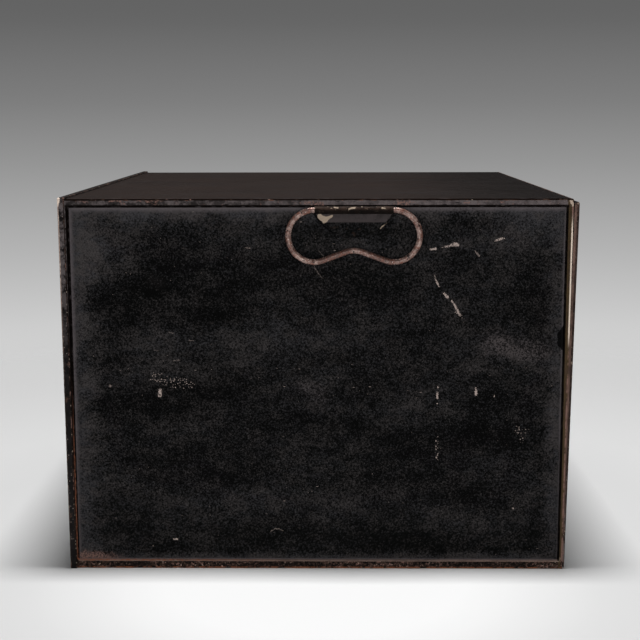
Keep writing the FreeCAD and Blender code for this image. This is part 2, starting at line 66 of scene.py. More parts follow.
class patternBook:
    # patterns for one material, laid out in millimetres on the piece itself
    def __init__(self, name, seed=0.0):
        self.material = bpy.data.materials.new(name)
        self.material.use_nodes = True
        self.tree = self.material.node_tree
        self.shader = self.tree.nodes["Principled BSDF"]
        self.seed = seed
        where = self.node("ShaderNodeTexCoord")
        self.spot = where.outputs["Object"]
        self.place = self.vector("SCALE", self.spot, scale=1000.0)
        self.x, self.y, self.z = self.split(self.place)
        self.side = self.absolute(self.y)
        facing = self.vector("ABSOLUTE", where.outputs["Normal"])
        self.faceX, self.faceY, self.faceZ = self.split(facing)
        self.upwards = self.split(where.outputs["Normal"])[2]

    def node(self, kind, **settings):
        made = self.tree.nodes.new(kind)
        for key, value in settings.items():
            setattr(made, key, value)
        return made

    def feed(self, socket, value):
        if isinstance(value, bpy.types.NodeSocket):
            self.tree.links.new(value, socket)
        else:
            socket.default_value = value

    def split(self, vector):
        made = self.node("ShaderNodeSeparateXYZ")
        self.feed(made.inputs[0], vector)
        return made.outputs[0], made.outputs[1], made.outputs[2]

    def number(self, work, first, second=0.0, third=0.0):
        made = self.node("ShaderNodeMath", operation=work)
        for socket, value in zip(made.inputs, (first, second, third)):
            self.feed(socket, value)
        return made.outputs[0]

    def vector(self, work, first, second=None, scale=None, output="Vector"):
        made = self.node("ShaderNodeVectorMath", operation=work)
        self.feed(made.inputs[0], first)
        if second is not None:
            self.feed(made.inputs[1], second)
        if scale is not None:
            self.feed(made.inputs["Scale"], scale)
        return made.outputs[output]

    def measure(self, work, first, second=None):
        # a length, a distance or another work whose answer is one number
        return self.vector(work, first, second, output="Value")

    def rise(self, value, low, high, start=0.0, end=1.0):
        # a smooth step from start to end between low and high
        made = self.node("ShaderNodeMapRange", interpolation_type="SMOOTHSTEP", clamp=False)
        for socket, given in zip(made.inputs, (value, low, high, start, end)):
            self.feed(socket, given)
        return made.outputs[0]

    def between(self, value, low, high, edge):
        # one inside the band, nothing outside it
        return self.times(self.rise(value, low - edge, low + edge),
                          self.rise(value, high + edge, high - edge))

    def absolute(self, value):
        return self.number("ABSOLUTE", value)

    def minus(self, first, second):
        return self.number("SUBTRACT", first, second)

    def times(self, first, *others):
        for other in others:
            first = self.number("MULTIPLY", first, other)
        return first

    def plus(self, first, *others):
        for other in others:
            first = self.number("ADD", first, other)
        return first

    def most(self, first, *others):
        for other in others:
            first = self.number("MAXIMUM", first, other)
        return first

    def least(self, first, *others):
        for other in others:
            first = self.number("MINIMUM", first, other)
        return first

    def grid(self, size, stretch, seed):
        # size is given in millimetres, the spot in metres
        made = self.node("ShaderNodeMapping")
        start = self.seed + seed
        self.feed(made.inputs["Vector"], self.spot)
        self.feed(made.inputs["Location"], (start, start * 0.7, start * 1.3))
        self.feed(made.inputs["Scale"], tuple(1000 / (size * part) for part in stretch))
        return made.outputs[0]

    def parts(self, colour):
        made = self.node("ShaderNodeSeparateColor")
        self.feed(made.inputs[0], colour)
        return made.outputs[0], made.outputs[1], made.outputs[2]

    def noise(self, size, seed, detail=3.0, rough=0.55, stretch=(1, 1, 1), output=0):
        made = self.node("ShaderNodeTexNoise")
        self.feed(made.inputs["Vector"], self.grid(size, stretch, seed))
        self.feed(made.inputs["Scale"], 1.0)
        self.feed(made.inputs["Detail"], detail)
        self.feed(made.inputs["Roughness"], rough)
        return made.outputs[output]

    def drift(self, size, seed, low, high, start=0.0, end=1.0, detail=4.0, rough=0.55):
        # a strength that drifts between start and end
        return self.rise(self.noise(size, seed, detail, rough), low, high, start, end)

    def wander(self, amount, size, seed, detail=3.0, rough=0.55):
        # a noise that runs from -amount to amount
        return self.number("MULTIPLY_ADD", self.noise(size, seed, detail, rough), amount * 2, -amount)

    def blots(self, size, seed, low, high, stretch=(1, 1, 1)):
        # islands with torn edges: nothing below low, full above high
        return self.rise(self.noise(size, seed, *tornEdge, stretch), low, high)

    def rounded(self):
        # one on the rounded edges of a piece, nothing on its flat faces
        return self.rise(self.most(self.faceX, self.faceY, self.faceZ), *flatFace)

    def specks(self, size, seed, share, radius, stretch=(1, 1, 1)):
        # scattered flecks: share of the cells that hold one, radius as a part of the cell
        made = self.node("ShaderNodeTexVoronoi")
        self.feed(made.inputs["Vector"], self.grid(size, stretch, seed))
        self.feed(made.inputs["Scale"], 1.0)
        chance = self.parts(made.outputs["Color"])
        chosen = self.number("LESS_THAN", chance[0], share)
        reach = self.number("MULTIPLY_ADD", chance[1], radius * 0.8, radius * 0.4)
        inner = self.number("MULTIPLY", reach, 0.5)
        dot = self.rise(made.outputs["Distance"], reach, inner)
        return self.times(dot, chosen, self.rise(chance[2], 0.0, 1.0, 0.45, 1.0))

    def grit(self, size, seed):
        # an even crowd of small cells, each with a level of its own
        made = self.node("ShaderNodeTexVoronoi")
        self.feed(made.inputs["Vector"], self.grid(size, (1, 1, 1), seed))
        self.feed(made.inputs["Scale"], 1.0)
        return self.parts(made.outputs["Color"])[0]

    def ragged(self, amount, size, seed):
        # the place, pushed about by a noise, so that drawn marks get uneven edges
        push = self.node("ShaderNodeCombineXYZ")
        for socket, part in zip(push.inputs, self.parts(self.noise(size, seed, 2.0, output=1))):
            self.feed(socket, self.number("MULTIPLY_ADD", part, amount * 2, -amount))
        return self.vector("ADD", self.place, push.outputs[0])

    def strokes(self, lines, place, edge=0.3):
        # worn-through marks: each a run of (x, y, z, half width) points on the piece
        together = None
        for line in lines:
            for a, b in zip(line[:-1], line[1:]):
                start, along = Vector(a[:3]), Vector(b[:3]) - Vector(a[:3])
                length = max(along.length_squared, 1e-6)
                offset = self.vector("SUBTRACT", place, tuple(start))
                part = self.measure("DOT_PRODUCT", offset, tuple(along / length))
                part = self.most(self.least(part, 1.0), 0.0)
                foot = self.vector("SCALE", tuple(along), scale=part)
                away = self.measure("DISTANCE", offset, foot)
                width = self.number("MULTIPLY_ADD", part, b[3] - a[3], a[3])
                depth = self.minus(width, away)
                together = depth if together is None else self.most(together, depth)
        return self.rise(together, -edge, edge)

    def mix(self, share, under, over):
        made = self.node("ShaderNodeMix", data_type="RGBA")
        for index, value in ((0, share), (6, under), (7, over)):    # 6 and 7 are its colour sockets
            self.feed(made.inputs[index], value)
        return made.outputs[2]

    def bump(self, height, depth):
        # height runs from 0 to 1 and stands for depth millimetres
        made = self.node("ShaderNodeBump")
        self.feed(made.inputs["Strength"], 1.0)
        self.feed(made.inputs["Distance"], depth / 1000)
        self.feed(made.inputs["Height"], height)
        self.feed(self.shader.inputs["Normal"], made.outputs[0])

    def finish(self, colour, roughness, metallic=0.0, specular=0.5):
        self.feed(self.shader.inputs["Base Color"], colour)
        self.feed(self.shader.inputs["Roughness"], roughness)
        self.feed(self.shader.inputs["Metallic"], metallic)
        self.feed(self.shader.inputs["Specular IOR Level"], specular)
        return self.material


def wear(nodeName, material):
    # the plate keeps its shape and takes this finish
    for place in nodes[nodeName].material_slots:
        place.material = material


caseShape = {                 # mm
    "height": 311.0,
    "windowBack": -200.5, "windowFront": 203.1, "windowFoot": 6.4, "windowTop": 305.6,
    "spread": 1.3,            # the window is this much wider at its foot, at each end
    "panel": 221.0,           # from the middle to the sunk panel
    "rimFace": 225.0,         # from the middle to the face of the rim
    "crease": 292.2,          # height of the crease in the half-moon plates
}

varnish = {                   # stoved black varnish and what shows where it has gone
    "soot": tone(2, 2, 2),
    "coolDust": tone(57, 56, 58),
    "warmDust": tone(60, 57, 57),
    "bloom": tone(90, 84, 86),
    "rubbed": tone(98, 90, 90),
    "pink": tone(124, 96, 88),
    "rust": tone(116, 74, 54),
    # a dark rust colour, also laid on folds, recess walls and bends as painted shade
    "darkRustAndShade": tone(20, 12, 9),
    "brown": tone(68, 52, 44),
    "olive": tone(68, 55, 37),
    "pale": tone(160, 145, 138),
    "beige": tone(150, 134, 118),
    "tin": tone(205, 188, 170),
    "specular": 0.035,
    "gloss": 0.56,            # roughness where the varnish is whole and clean
}

japan = {                     # sizes of the varnish's patterns in mm, and how much each counts
    "fine": 1.35, "fineShare": 1.15,
    "grit": 1.1, "gritShare": 0.24,
    "middle": 13, "middleShare": 0.5, "middleStretch": (1.3, 1.3, 0.8),
    "clouds": 70, "cloudShare": 0.75, "cloudStretch": (1.7, 1.7, 0.6),
    "dusty": (1.135, 1.935),  # summed level where dust begins, and where it hides the black
    "warm": (0.42, 0.58),     # level of the middle noise where the dust turns warm
    "dustRough": 0.14, "wornRough": 0.10,    # added to the roughness by dust and by wear
    "bumpDepth": 0.10,        # mm
}


class sheetBook(patternBook):
    # one japanned sheet: ground first, then what has happened to it, one coat at a time
    def ground(self, lift=0.0, stretch=japan["cloudStretch"]):
        self.fine = self.noise(japan["fine"], 9, 2.0, 0.6)
        middle = self.noise(japan["middle"], 2, 3.0, stretch=japan["middleStretch"])
        self.clouds = self.noise(japan["clouds"], 0, 3.0, stretch=stretch)
        level = self.number("MULTIPLY_ADD", self.fine, japan["fineShare"], lift)
        level = self.number("MULTIPLY_ADD", self.grit(japan["grit"], 4), japan["gritShare"], level)
        level = self.number("MULTIPLY_ADD", middle, japan["middleShare"], level)
        level = self.number("MULTIPLY_ADD", self.clouds, japan["cloudShare"], level)
        self.grain = self.rise(level, *japan["dusty"])
        dust = self.mix(self.rise(middle, *japan["warm"]), varnish["coolDust"], varnish["warmDust"])
        self.colour = self.mix(self.grain, varnish["soot"], dust)
        self.worn = 0.0
        self.bare = 0.0

    def coat(self, share, colour, worn=0.0, bare=0.0):
        # worn: how much of the varnish has gone; bare: how much bright metal shows
        self.colour = self.mix(share, self.colour, colour)
        if worn:
            self.worn = self.most(self.worn, self.times(share, worn))
        if bare:
            self.bare = self.most(self.bare, self.times(share, bare))

    def crowd(self, size=50, high=0.66):
        # where flecks stand close together
        return self.rise(self.noise(size, 7, 2.0), 0.42, high)

    def flecks(self, amount, crowd):
        # pinholes and short dashes in the varnish
        pins = self.specks(3.6, 1, share=0.26, radius=0.15)
        dashes = self.specks(6.5, 3, share=0.22, radius=0.09, stretch=(2.2, 2.2, 0.6))
        self.coat(self.times(self.most(pins, dashes), crowd, amount), varnish["pale"], worn=0.6)

    def folds(self, dark=0.85, broken=0.5, bright=0.4):
        # rounded edges: dark lines of painted shade, broken by brown, pink and tin wear
        fold = self.rounded()
        self.coat(self.times(fold, dark), varnish["darkRustAndShade"])
        self.coat(self.times(fold, self.blots(8, 15, 0.52, 0.60), broken), varnish["brown"])
        self.coat(self.times(fold, self.blots(6, 17, 0.57, 0.63), broken), varnish["pink"], worn=0.6)
        self.coat(self.times(fold, self.blots(4, 19, 0.61, 0.66), bright), varnish["tin"],
                  worn=1.0, bare=0.8)

    def done(self, gloss=varnish["gloss"], specular=varnish["specular"]):
        rough = self.number("MULTIPLY_ADD", self.grain, japan["dustRough"], gloss)
        rough = self.number("MULTIPLY_ADD", self.worn, japan["wornRough"], rough)
        height = self.number("MULTIPLY_ADD", self.fine, 0.6, self.times(self.clouds, 0.4))
        self.bump(height, japan["bumpDepth"])
        return self.finish(self.colour, rough, self.bare, specular)


def onPanel(points):
    return [(x, -caseShape["panel"], z, width) for x, z, width in points]


def onRim(points):
    return [(x, -caseShape["rimFace"], z, width) for x, z, width in points]


leftPanelMarks = {            # x, z and half width, in mm
    "chips": [
        [(93.6, 269.9, 0.6), (97.6, 270.6, 1.0)],
        [(103, 271.6, 0.2), (109, 273.0, 0.7), (112.4, 274.2, 1.7), (115.4, 273.8, 1.4)],
        [(145.6, 277.0, 0.5), (148.8, 278.2, 0.9), (152.9, 278.9, 0.7)],
        [(97.5, 248.8, 0.2), (98.4, 244.6, 0.7), (100.9, 239.4, 0.5)],
        [(104.6, 234.4, 0.6), (107.8, 231.0, 1.2)],
        [(111.4, 228.0, 0.5), (113.4, 225.2, 0.7), (115.8, 220.4, 1.1), (118.3, 215.6, 0.6)],
        [(132.4, 154.6, 0.7), (132.8, 149.8, 1.1)],
        [(147.6, 148.4, 0.6), (147.6, 147.8, 0.6)],
        [(101.4, 156.2, 0.6), (101.4, 155.4, 0.6)], [(100.8, 151.0, 0.9), (100.8, 146.4, 0.8)],
        [(100.9, 141.8, 0.5), (100.9, 141.6, 0.5)], [(100.2, 109.9, 0.6), (100.2, 109.5, 0.6)],
        [(100.2, 105.3, 0.6), (100.2, 105.0, 0.6)], [(100.7, 95.9, 0.6), (100.7, 95.5, 0.6)],
        [(165.6, 51.9, 0.6), (165.6, 51.4, 0.6)],
        [(-128.8, 153.2, 1.3), (-129.1, 148.6, 1.5)],
        [(-120.4, 24.0, 0.5), (-117.4, 24.0, 0.7)],
        [(-138.0, 17.9, 0.5), (-137.8, 17.7, 0.5)],
    ],
    "dotted": [
        [(100.8, 120, 1.1), (101.0, 92.5, 1.2)],
        [(167.5, 119.5, 3.0), (172.0, 117.6, 3.4), (171.5, 110.5, 2.2)],
        [(116.0, 218.0, 2.0), (121.6, 211.4, 1.4)],
        [(-133, 164, 4.5), (-118, 160, 5.0), (-104, 158, 4.0)],
    ],
    "scratches": [
        [(-38.0, 31.0, 0.3), (-34.8, 33.2, 0.4), (-31.0, 33.2, 0.4), (-27.7, 31.2, 0.3)],
        [(-0.9, 256.5, 0.1), (2.3, 250.8, 0.2), (6.4, 245.8, 0.1)],
        [(3.2, 268.8, 0.3), (5.6, 265.5, 0.3), (8.0, 263.1, 0.3)],
        [(129.4, 268.9, 0.5), (132.9, 264.8, 0.7)],
        [(-170.2, 156.4, 0.9), (-170.0, 156.6, 0.9)],
        [(-121, 202, 0.2), (-117, 201, 0.3)], [(-104, 195, 0.3), (-100, 194.6, 0.2)],
        [(-133, 187, 0.2), (-130, 186, 0.3)], [(-117, 178, 0.3), (-112, 178.6, 0.3)],
        [(-57, 271.6, 0.2), (-53, 271, 0.5)],
    ],
    "smudges": [
        [(-9, 156, 4.0), (4, 149, 5.0)], [(-133, 246, 2.0), (-127, 243, 2.0)],
        [(146, 192, 9.0), (182, 186, 8.0)],
    ],
    "haze": [                 # x, z, reach along and up, how much lighter
        (-172, 276, 56, 48, 0.21), (176, 289, 46, 30, 0.22), (152, 187, 64, 41, 0.13),
        (12, 168, 26, 15, 0.14), (-74, 214, 51, 26, -0.20), (132, 64, 56, 26, -0.24),
        (-75, 151, 77, 19, -0.10), (-178, 178, 38, 43, -0.10), (-185, 76, 34, 26, -0.10),
        (184, 170, 28, 24, 0.10), (33, 272, 38, 15, 0.12),
    ],
    "bite": [
        [(203.0, 205.5, 1.2), (201.2, 200.0, 3.0), (201.4, 192.0, 3.0), (203.2, 187.4, 1.0)],
    ],
    "rimPatches": [           # these are on the rim
        [(-12, 308.0, 0.4), (-2, 308.0, 2.0), (6, 307.6, 1.4)],
        [(64, 308.0, 0.8), (74, 308.0, 2.0), (80, 308.4, 0.5)],
        [(120, 308.0, 0.7), (124, 308.6, 0.8)], [(149, 308.8, 0.6), (152, 308.4, 0.7)],
        [(-166, 309.6, 0.6), (-156, 309.8, 0.7)], [(-144, 309.7, 0.4), (-122, 309.8, 0.5)],
    ],
}

sidePan = {                             # mm
    "rimToPanel": (223.2, 222.0),       # from the middle: where the rim ends, and the sunk panel begins
    "reach": (32.0, 17.0, 17.0, 8.0),   # how far the bloom creeps in: back, front, top, foot
    "paleBand": (152, 172, 16),         # foot and head of a paler band across the panel, and its soft edge
    "strip": 3.4,                       # width of the pale strip beside the rims
    "rimFaces": (223.4, 224.4),         # from the middle: where the rim's face begins
    "topBand": (304.4, 305.9, 310.0, 310.6),
    "footBand": (6.9, 6.0),
    "footLine": (1.7, 0.8),             # rusty line along the very bottom
    "frontEdge": (206.1, 206.7),
    "brightLine": (196.0, 292.0, 9),    # painted glint of bare metal along the front edge: foot, head, soft edge
    "underTop": (309.8, 310.1),         # painted shadow line under the top sheet's turned edge
    # dust on the ledge, brightened as painted light where it faces up
    "ledgeDustAndLight": tone(152, 130, 120),
    "wallRust": tone(152, 98, 74),
    "rim": tone(24, 21, 20),
    "foot": tone(11, 8, 7),
    "footChips": tone(172, 148, 136),
    "footRust": tone(122, 74, 50),
    # painted shadow, laid in the creases and under the top sheet's edge
    "crease": tone(9, 5, 4),
    "frontEdgeGlint": tone(228, 212, 196),
    "corners": tone(184, 166, 150),
    "cornerWear": [[(204.9, 309.4, 1.0), (207.2, 306.4, 1.3)],
                   [(202.0, 6.2, 0.7), (204.4, 7.2, 1.2), (204.8, 9.5, 0.6)]],
}


class sidePanBook(sheetBook):
    # the plate of one long side: a sunk panel inside a rolled rim
    def measureWindow(self):
        # mm inwards from each edge of the window that the panel is sunk in
        shape = caseShape
        lean = self.times(self.rise(self.z, shape["height"], 0), shape["spread"])
        self.fromBack = self.plus(self.minus(self.x, shape["windowBack"]), lean)
        self.fromFront = self.plus(self.minus(shape["windowFront"], self.x), lean)
        self.fromTop = self.minus(shape["windowTop"], self.z)
        self.fromFoot = self.minus(self.z, shape["windowFoot"])
        self.sunk = self.rise(self.side, *sidePan["rimToPanel"])

    def bloomOver(self, hazes):
        # bloom that has crept in from the rims, a paler band, clouds of haze, and flecks
        near = self.least(*[self.number("DIVIDE", far, size) for far, size in zip(
            (self.fromBack, self.fromFront, self.fromTop, self.fromFoot), sidePan["reach"])])
        near = self.plus(near, self.wander(0.70, 20, 5))
        bloom = self.times(self.rise(near, 1.15, -0.1), self.sunk)
        band = self.between(self.z, *sidePan["paleBand"])
        lift = self.number("MULTIPLY_ADD", bloom, 0.36, self.times(band, 0.05))
        for x, z, along, up, amount in hazes:
            offset = self.vector("SUBTRACT", self.place, (x, -caseShape["panel"], z))
            far = self.measure("LENGTH", self.vector("MULTIPLY", offset, (1 / along, 0, 1 / up)))
            lift = self.plus(lift, self.rise(far, 1.0, 0.0, 0.0, amount))
        self.ground(lift)
        lowDown = self.rise(self.z, 150, 50)
        strip = self.least(self.plus(self.times(self.fromBack, 1.2), self.times(lowDown, 1.2)),
                           self.plus(self.times(self.fromFront, 2.2), self.times(lowDown, 2.0)),
                           self.fromTop, self.times(self.fromFoot, 4.5))
        strip = self.plus(strip, self.wander(1.5, 9, 6, 4.0, 0.65))
        width = sidePan["strip"]
        strip = self.times(self.rise(strip, width * 1.9, width * 0.1), self.sunk)
        self.coat(self.times(strip, self.rise(self.grain, 0.0, 0.5, 0.55, 1.0)), varnish["bloom"])
        crowd = self.plus(self.noise(50, 7, 2.0), self.times(band, 0.16))
        self.flecks(0.75, self.rise(crowd, 0.42, 0.66))

    def darkenWalls(self):
        # painted shade on the walls around the sunk panel, broken by brown rust
        self.wall = self.times(self.rise(self.faceY, 0.75, 0.45), self.rise(self.side, 225.5, 224.9))
        self.low = self.rise(self.z, 170, 60)
        self.coat(self.times(self.wall, 0.9), varnish["darkRustAndShade"])
        self.coat(self.times(self.wall, self.blots(9, 31, 0.42, 0.58), 0.8), varnish["brown"])

    def findCreases(self):
        # the ledge at the panel's foot, and the lines where the rims are folded in to the panel, which take
        # painted shadow
        self.ledgeDustAndLight = self.times(self.rise(self.upwards, 0.35, 0.7), self.rise(self.z, 12, 9),
                                self.rise(self.side, 220.9, 221.4))
        fold = self.least(self.absolute(self.minus(self.fromTop, 0.35)), self.absolute(self.fromBack),
                          self.plus(self.absolute(self.fromFront), 0.55))
        self.creaseShadow = self.times(self.rise(fold, 1.6, 0.95), self.rise(self.fromFoot, -0.5, 0.5),
                                  self.rise(self.fromTop, -1.1, -0.7), self.rise(self.fromBack, -1.0, -0.6),
                                  self.rise(self.fromFront, -1.2, -0.8))

    def blackenRim(self):
        self.rim = self.times(self.rise(self.side, *sidePan["rimFaces"]), self.rise(self.faceY, 0.7, 0.95))
        self.coat(self.rim, sidePan["rim"])

    def paintTopBand(self):
        # rubbed grey, most of all towards the front
        low, lower, upper, high = sidePan["topBand"]
        band = self.times(self.rim, self.rise(self.z, low, lower), self.rise(self.z, high, upper))
        self.torn = self.drift(2.0, 36, 0.46, 0.60, 0.05, 1.0, detail=3.0, rough=0.7)
        forward = self.rise(self.x, -150, 110, 0.75, 1.0)
        rubbed = self.drift(7, 35, 0.30, 0.62, 0.35, 1.0, rough=0.65)
        rubbed = self.times(band, forward, rubbed, self.rise(self.fine, 0.25, 0.75, 0.72, 1.15))
        self.coat(rubbed, varnish["rubbed"], worn=0.3)
        backward = self.rise(self.x, 60, -120)
        self.coat(self.times(band, backward, self.blots(6, 34, 0.44, 0.56), 0.8), sidePan["rim"])
        patches = self.times(band, self.blots(10, 37, 0.56, 0.66), self.torn, 0.8)
        self.coat(patches, varnish["pink"], worn=0.8)
        self.coat(self.times(band, self.blots(2.6, 39, 0.66, 0.72), 0.8), varnish["beige"], worn=1.0)
        black = self.blots(3.4, 38, 0.60, 0.68, stretch=(2.4, 1, 0.7))
        self.coat(self.times(band, black, 0.8), varnish["soot"])

    def paintEndBands(self):
        # grey behind, olive beside the door, with bare metal and a painted glint along the front edge
        back = self.times(self.rim, self.rise(self.fromBack, 0.2, -0.8),
                          self.rise(self.z, 150, 300, 0.15, 1.0))
        self.coat(self.times(back, self.blots(5, 40, 0.38, 0.58), 0.84), varnish["rubbed"], worn=0.3)
        front = self.times(self.rim, self.rise(self.fromFront, 0.2, -0.8))
        self.coat(self.times(front, self.drift(11, 41, 0.3, 0.6, 0.5, 1.0)), varnish["olive"])
        self.coat(self.times(front, self.blots(7, 43, 0.52, 0.62), 0.8), varnish["brown"])
        edge = self.times(self.rim, self.rise(self.x, *sidePan["frontEdge"]))
        self.coat(self.times(edge, self.blots(9, 45, 0.40, 0.56), 0.9), varnish["pink"], worn=0.8)
        upright = self.between(self.z, *sidePan["brightLine"])
        line = self.times(edge, upright, self.blots(12, 47, 0.28, 0.40))
        self.coat(line, sidePan["frontEdgeGlint"], worn=1.0, bare=0.25)

    def paintFootBand(self):
        # black, chipped and rusty
        band = self.times(self.rim, self.rise(self.z, *sidePan["footBand"]))
        patchy = self.drift(60, 48, 0.40, 0.60, 0.35, 1.0, detail=2.0)
        self.coat(self.times(band, 0.85), sidePan["foot"])
        rusty = self.times(band, patchy, self.blots(2.8, 49, 0.46, 0.60), 0.8)
        self.coat(rusty, varnish["brown"], worn=0.5)
        pink = self.times(band, patchy, self.blots(2.2, 50, 0.54, 0.64), 0.8)
        self.coat(pink, varnish["pink"], worn=0.5)
        chips = self.times(band, patchy, self.blots(2.3, 51, 0.60, 0.66))
        self.coat(chips, sidePan["footChips"], worn=1.0)
        line = self.times(self.rim, self.rise(self.z, *sidePan["footLine"]),
                          self.blots(6, 52, 0.40, 0.54), 0.85)
        self.coat(line, sidePan["footRust"], worn=0.6)

    def wearCorners(self):
        # bare corners beside the door, and rust that has crept in from the back corner at the foot
        worn = self.strokes([onRim(line) for line in sidePan["cornerWear"]], self.ragged(1.2, 1.6, 53), 0.4)
        worn = self.times(worn, self.rise(self.side, *sidePan["rimFaces"]))
        self.coat(worn, sidePan["corners"], worn=1.0, bare=0.3)
        height = self.plus(self.fromFoot, self.times(self.rise(self.x, -190, -120), 9.0),
                           self.wander(6.0, 4, 55, 4.0, 0.7))
        rusty = self.times(self.sunk, self.rise(height, 8.0, 3.0), self.rise(self.x, -155, -190),
                           self.rise(self.fine, 0.36, 0.64, 0.2, 1.0))
        self.coat(self.times(rusty, 0.9), varnish["pink"], worn=0.5)

    def lineEdges(self):
        # what lies over the folds: olive, dust with painted light on the ledge, painted shadow in the
        # creases, rust, and a painted shadow line under the top
        besideDoor = self.rise(self.absolute(self.plus(self.fromFront, 0.6)), 1.2, 0.5)
        self.coat(self.times(besideDoor, self.rise(self.side, 221.6, 222.6), 0.7), varnish["olive"])
        # dust on the upward-facing ledge, with painted light
        dusty = self.times(self.ledgeDustAndLight, self.drift(14, 33, 0.3, 0.6, 0.6, 1.0),
                           self.rise(self.fine, 0.3, 0.7, 0.7, 1.05))
        self.coat(dusty, sidePan["ledgeDustAndLight"], worn=0.3)
        self.coat(self.times(self.creaseShadow, self.drift(6, 57, 0.28, 0.5, 0.7, 1.0)), sidePan["crease"])
        rusty = self.times(self.wall, self.low, self.rise(self.x, 0, -150),
                           self.drift(3.2, 58, 0.40, 0.58, 0.25, 1.0, detail=3.0))
        self.coat(rusty, sidePan["wallRust"], worn=0.7)
        # a painted shadow line under the top sheet's turned edge, with rust in it
        under = self.times(self.rise(self.z, *sidePan["underTop"]), self.rise(self.side, 224, 225))
        self.coat(self.times(under, self.drift(5, 59, 0.62, 0.5)), sidePan["crease"])
        self.coat(self.times(under, self.blots(4, 60, 0.56, 0.64, stretch=(2.5, 1, 1))), varnish["rust"],
                  worn=0.8)

    def drawMarks(self, marks):
        # places that this one side has been worn through
        pushed = self.ragged(1.2, 1.3, 61)
        crumbs = self.rise(self.noise(1.7, 63, 2.0), 0.38, 0.52)
        holes = self.specks(1.7, 65, share=0.85, radius=0.40)
        dusty = self.rise(self.grain, 0.0, 0.5, 0.04, 0.30)
        crumbled = self.number("MULTIPLY_ADD", crumbs, 0.85, 0.15)
        # kind, strength, what shows through, how worn it is, and its soft edge in mm
        for kind, strength, colour, worn, edge in (
            ("smudges", dusty, "rubbed", 0.1, 7.0),
            ("scratches", 0.40, "pale", 0.4, 0.3),
            ("dotted", holes, "pale", 0.9, 0.3),
            ("chips", crumbled, "pale", 1.0, 0.3),
            ("bite", 0.92, "soot", 0.5, 0.3),
        ):
            mask = self.strokes([onPanel(line) for line in marks[kind]], pushed, edge)
            self.coat(self.times(mask, strength), varnish[colour], worn)
        patches = self.strokes([onRim(line) for line in marks["rimPatches"]], self.ragged(1.6, 1.6, 67))
        self.coat(self.times(patches, self.times(self.torn, 0.9)), varnish["pink"], worn=0.9)


def sidePanFinish(name, seed, marks=None):
    book = sidePanBook(name, seed)
    book.measureWindow()
    book.bloomOver(marks["haze"] if marks else ())
    book.darkenWalls()
    book.findCreases()
    book.blackenRim()
    book.paintTopBand()
    book.paintEndBands()
    book.paintFootBand()
    book.wearCorners()
    book.folds()
    book.lineEdges()
    if marks:
        book.drawMarks(marks)
    return book.done()


wear("left_side_pan", sidePanFinish("japannedLeftSide", 3.0, leftPanelMarks))
wear("right_side_pan", sidePanFinish("japannedRightSide", 17.0))
print("side plates japanned")

topSheet = {                  # mm
    "tint": tone(40, 32, 29),
    "stretch": (2.0, 0.8, 1.0),
    "film": 38,               # size of the patches in the brown film
    "filmStretch": (2.4, 0.9, 1.0),
    "forward": (40, 200),     # x between which the sheet darkens towards the door
    "margin": (218.0, 221.5), # from the middle: where the long edges turn black
    "shine": (0.022, 0.0),    # specular level of the sheet, and of its black margin
    "shineMargin": (217.0, 221.0),
    "fold": (223.9, 224.3),   # where the sheet turns down over the sides
    "lip": (204.5, 207.0),    # x of the worn lip over the door
}


def topSheetFinish(name, seed):
    book = sheetBook(name, seed)
    rise, times, blots = book.rise, book.times, book.blots
    book.ground(0.10, stretch=topSheet["stretch"])
    film = book.noise(topSheet["film"], 21, 5.0, 0.62, stretch=topSheet["filmStretch"])
    film = book.minus(film, rise(book.x, *topSheet["forward"], 0.0, 0.26))
    book.coat(rise(film, 0.22, 0.70, 0.55, 0.97), topSheet["tint"])
    book.coat(rise(book.x, *topSheet["forward"], 0.0, 0.58), varnish["soot"])
    book.flecks(0.35, book.crowd(40, 0.7))
    rubbed = rise(book.side, 205, 224)
    book.coat(times(rubbed, blots(14, 23, 0.50, 0.64), 0.35), varnish["rubbed"], worn=0.3)
    turn = rise(book.side, *topSheet["fold"])
    book.coat(rise(book.side, *topSheet["margin"], 0.0, 0.92), varnish["soot"])
    # painted shade on the turned-down fold, broken by brown, pink and tin wear below
    book.coat(times(turn, 0.9), varnish["darkRustAndShade"])
    book.coat(times(turn, blots(9, 25, 0.56, 0.64), 0.7), varnish["brown"], worn=0.5)
    book.coat(times(turn, blots(6, 27, 0.66, 0.70)), varnish["pink"], worn=0.8)
    book.coat(times(turn, blots(4, 29, 0.70, 0.73)), varnish["tin"], worn=1.0, bare=0.5)
    lip = rise(book.x, *topSheet["lip"])
    book.coat(times(lip, blots(8, 31, 0.45, 0.6), 0.7), varnish["pink"], worn=0.8)
    shine = rise(book.side, *topSheet["shineMargin"], *topSheet["shine"])
    return book.done(gloss=0.50, specular=shine)


backCap = {                   # mm
    "halfWidth": 226.6, "height": 312.6,
    "bloom": (30, 4),         # from the edges: where the bloom begins, and where it is full
    "hemFace": (-206.9, -206.3),
    "hem": tone(15, 13, 12),
    "line": tone(186, 160, 148),        # the hem's bright outer line: a painted highlight
    # bare metal at the corner, and the painted highlight down the edge
    "corner": tone(222, 204, 190),
    # a worn bare corner, and a painted highlight down the outer edge
    "cornerWear": [[(-207.0, -227.2, 311.6, 2.2), (-207.2, -227.2, 306.0, 1.2)],
                   [(-206.8, -226.8, 302.0, 0.3), (-207.0, -226.8, 232.0, 0.25)]],
}


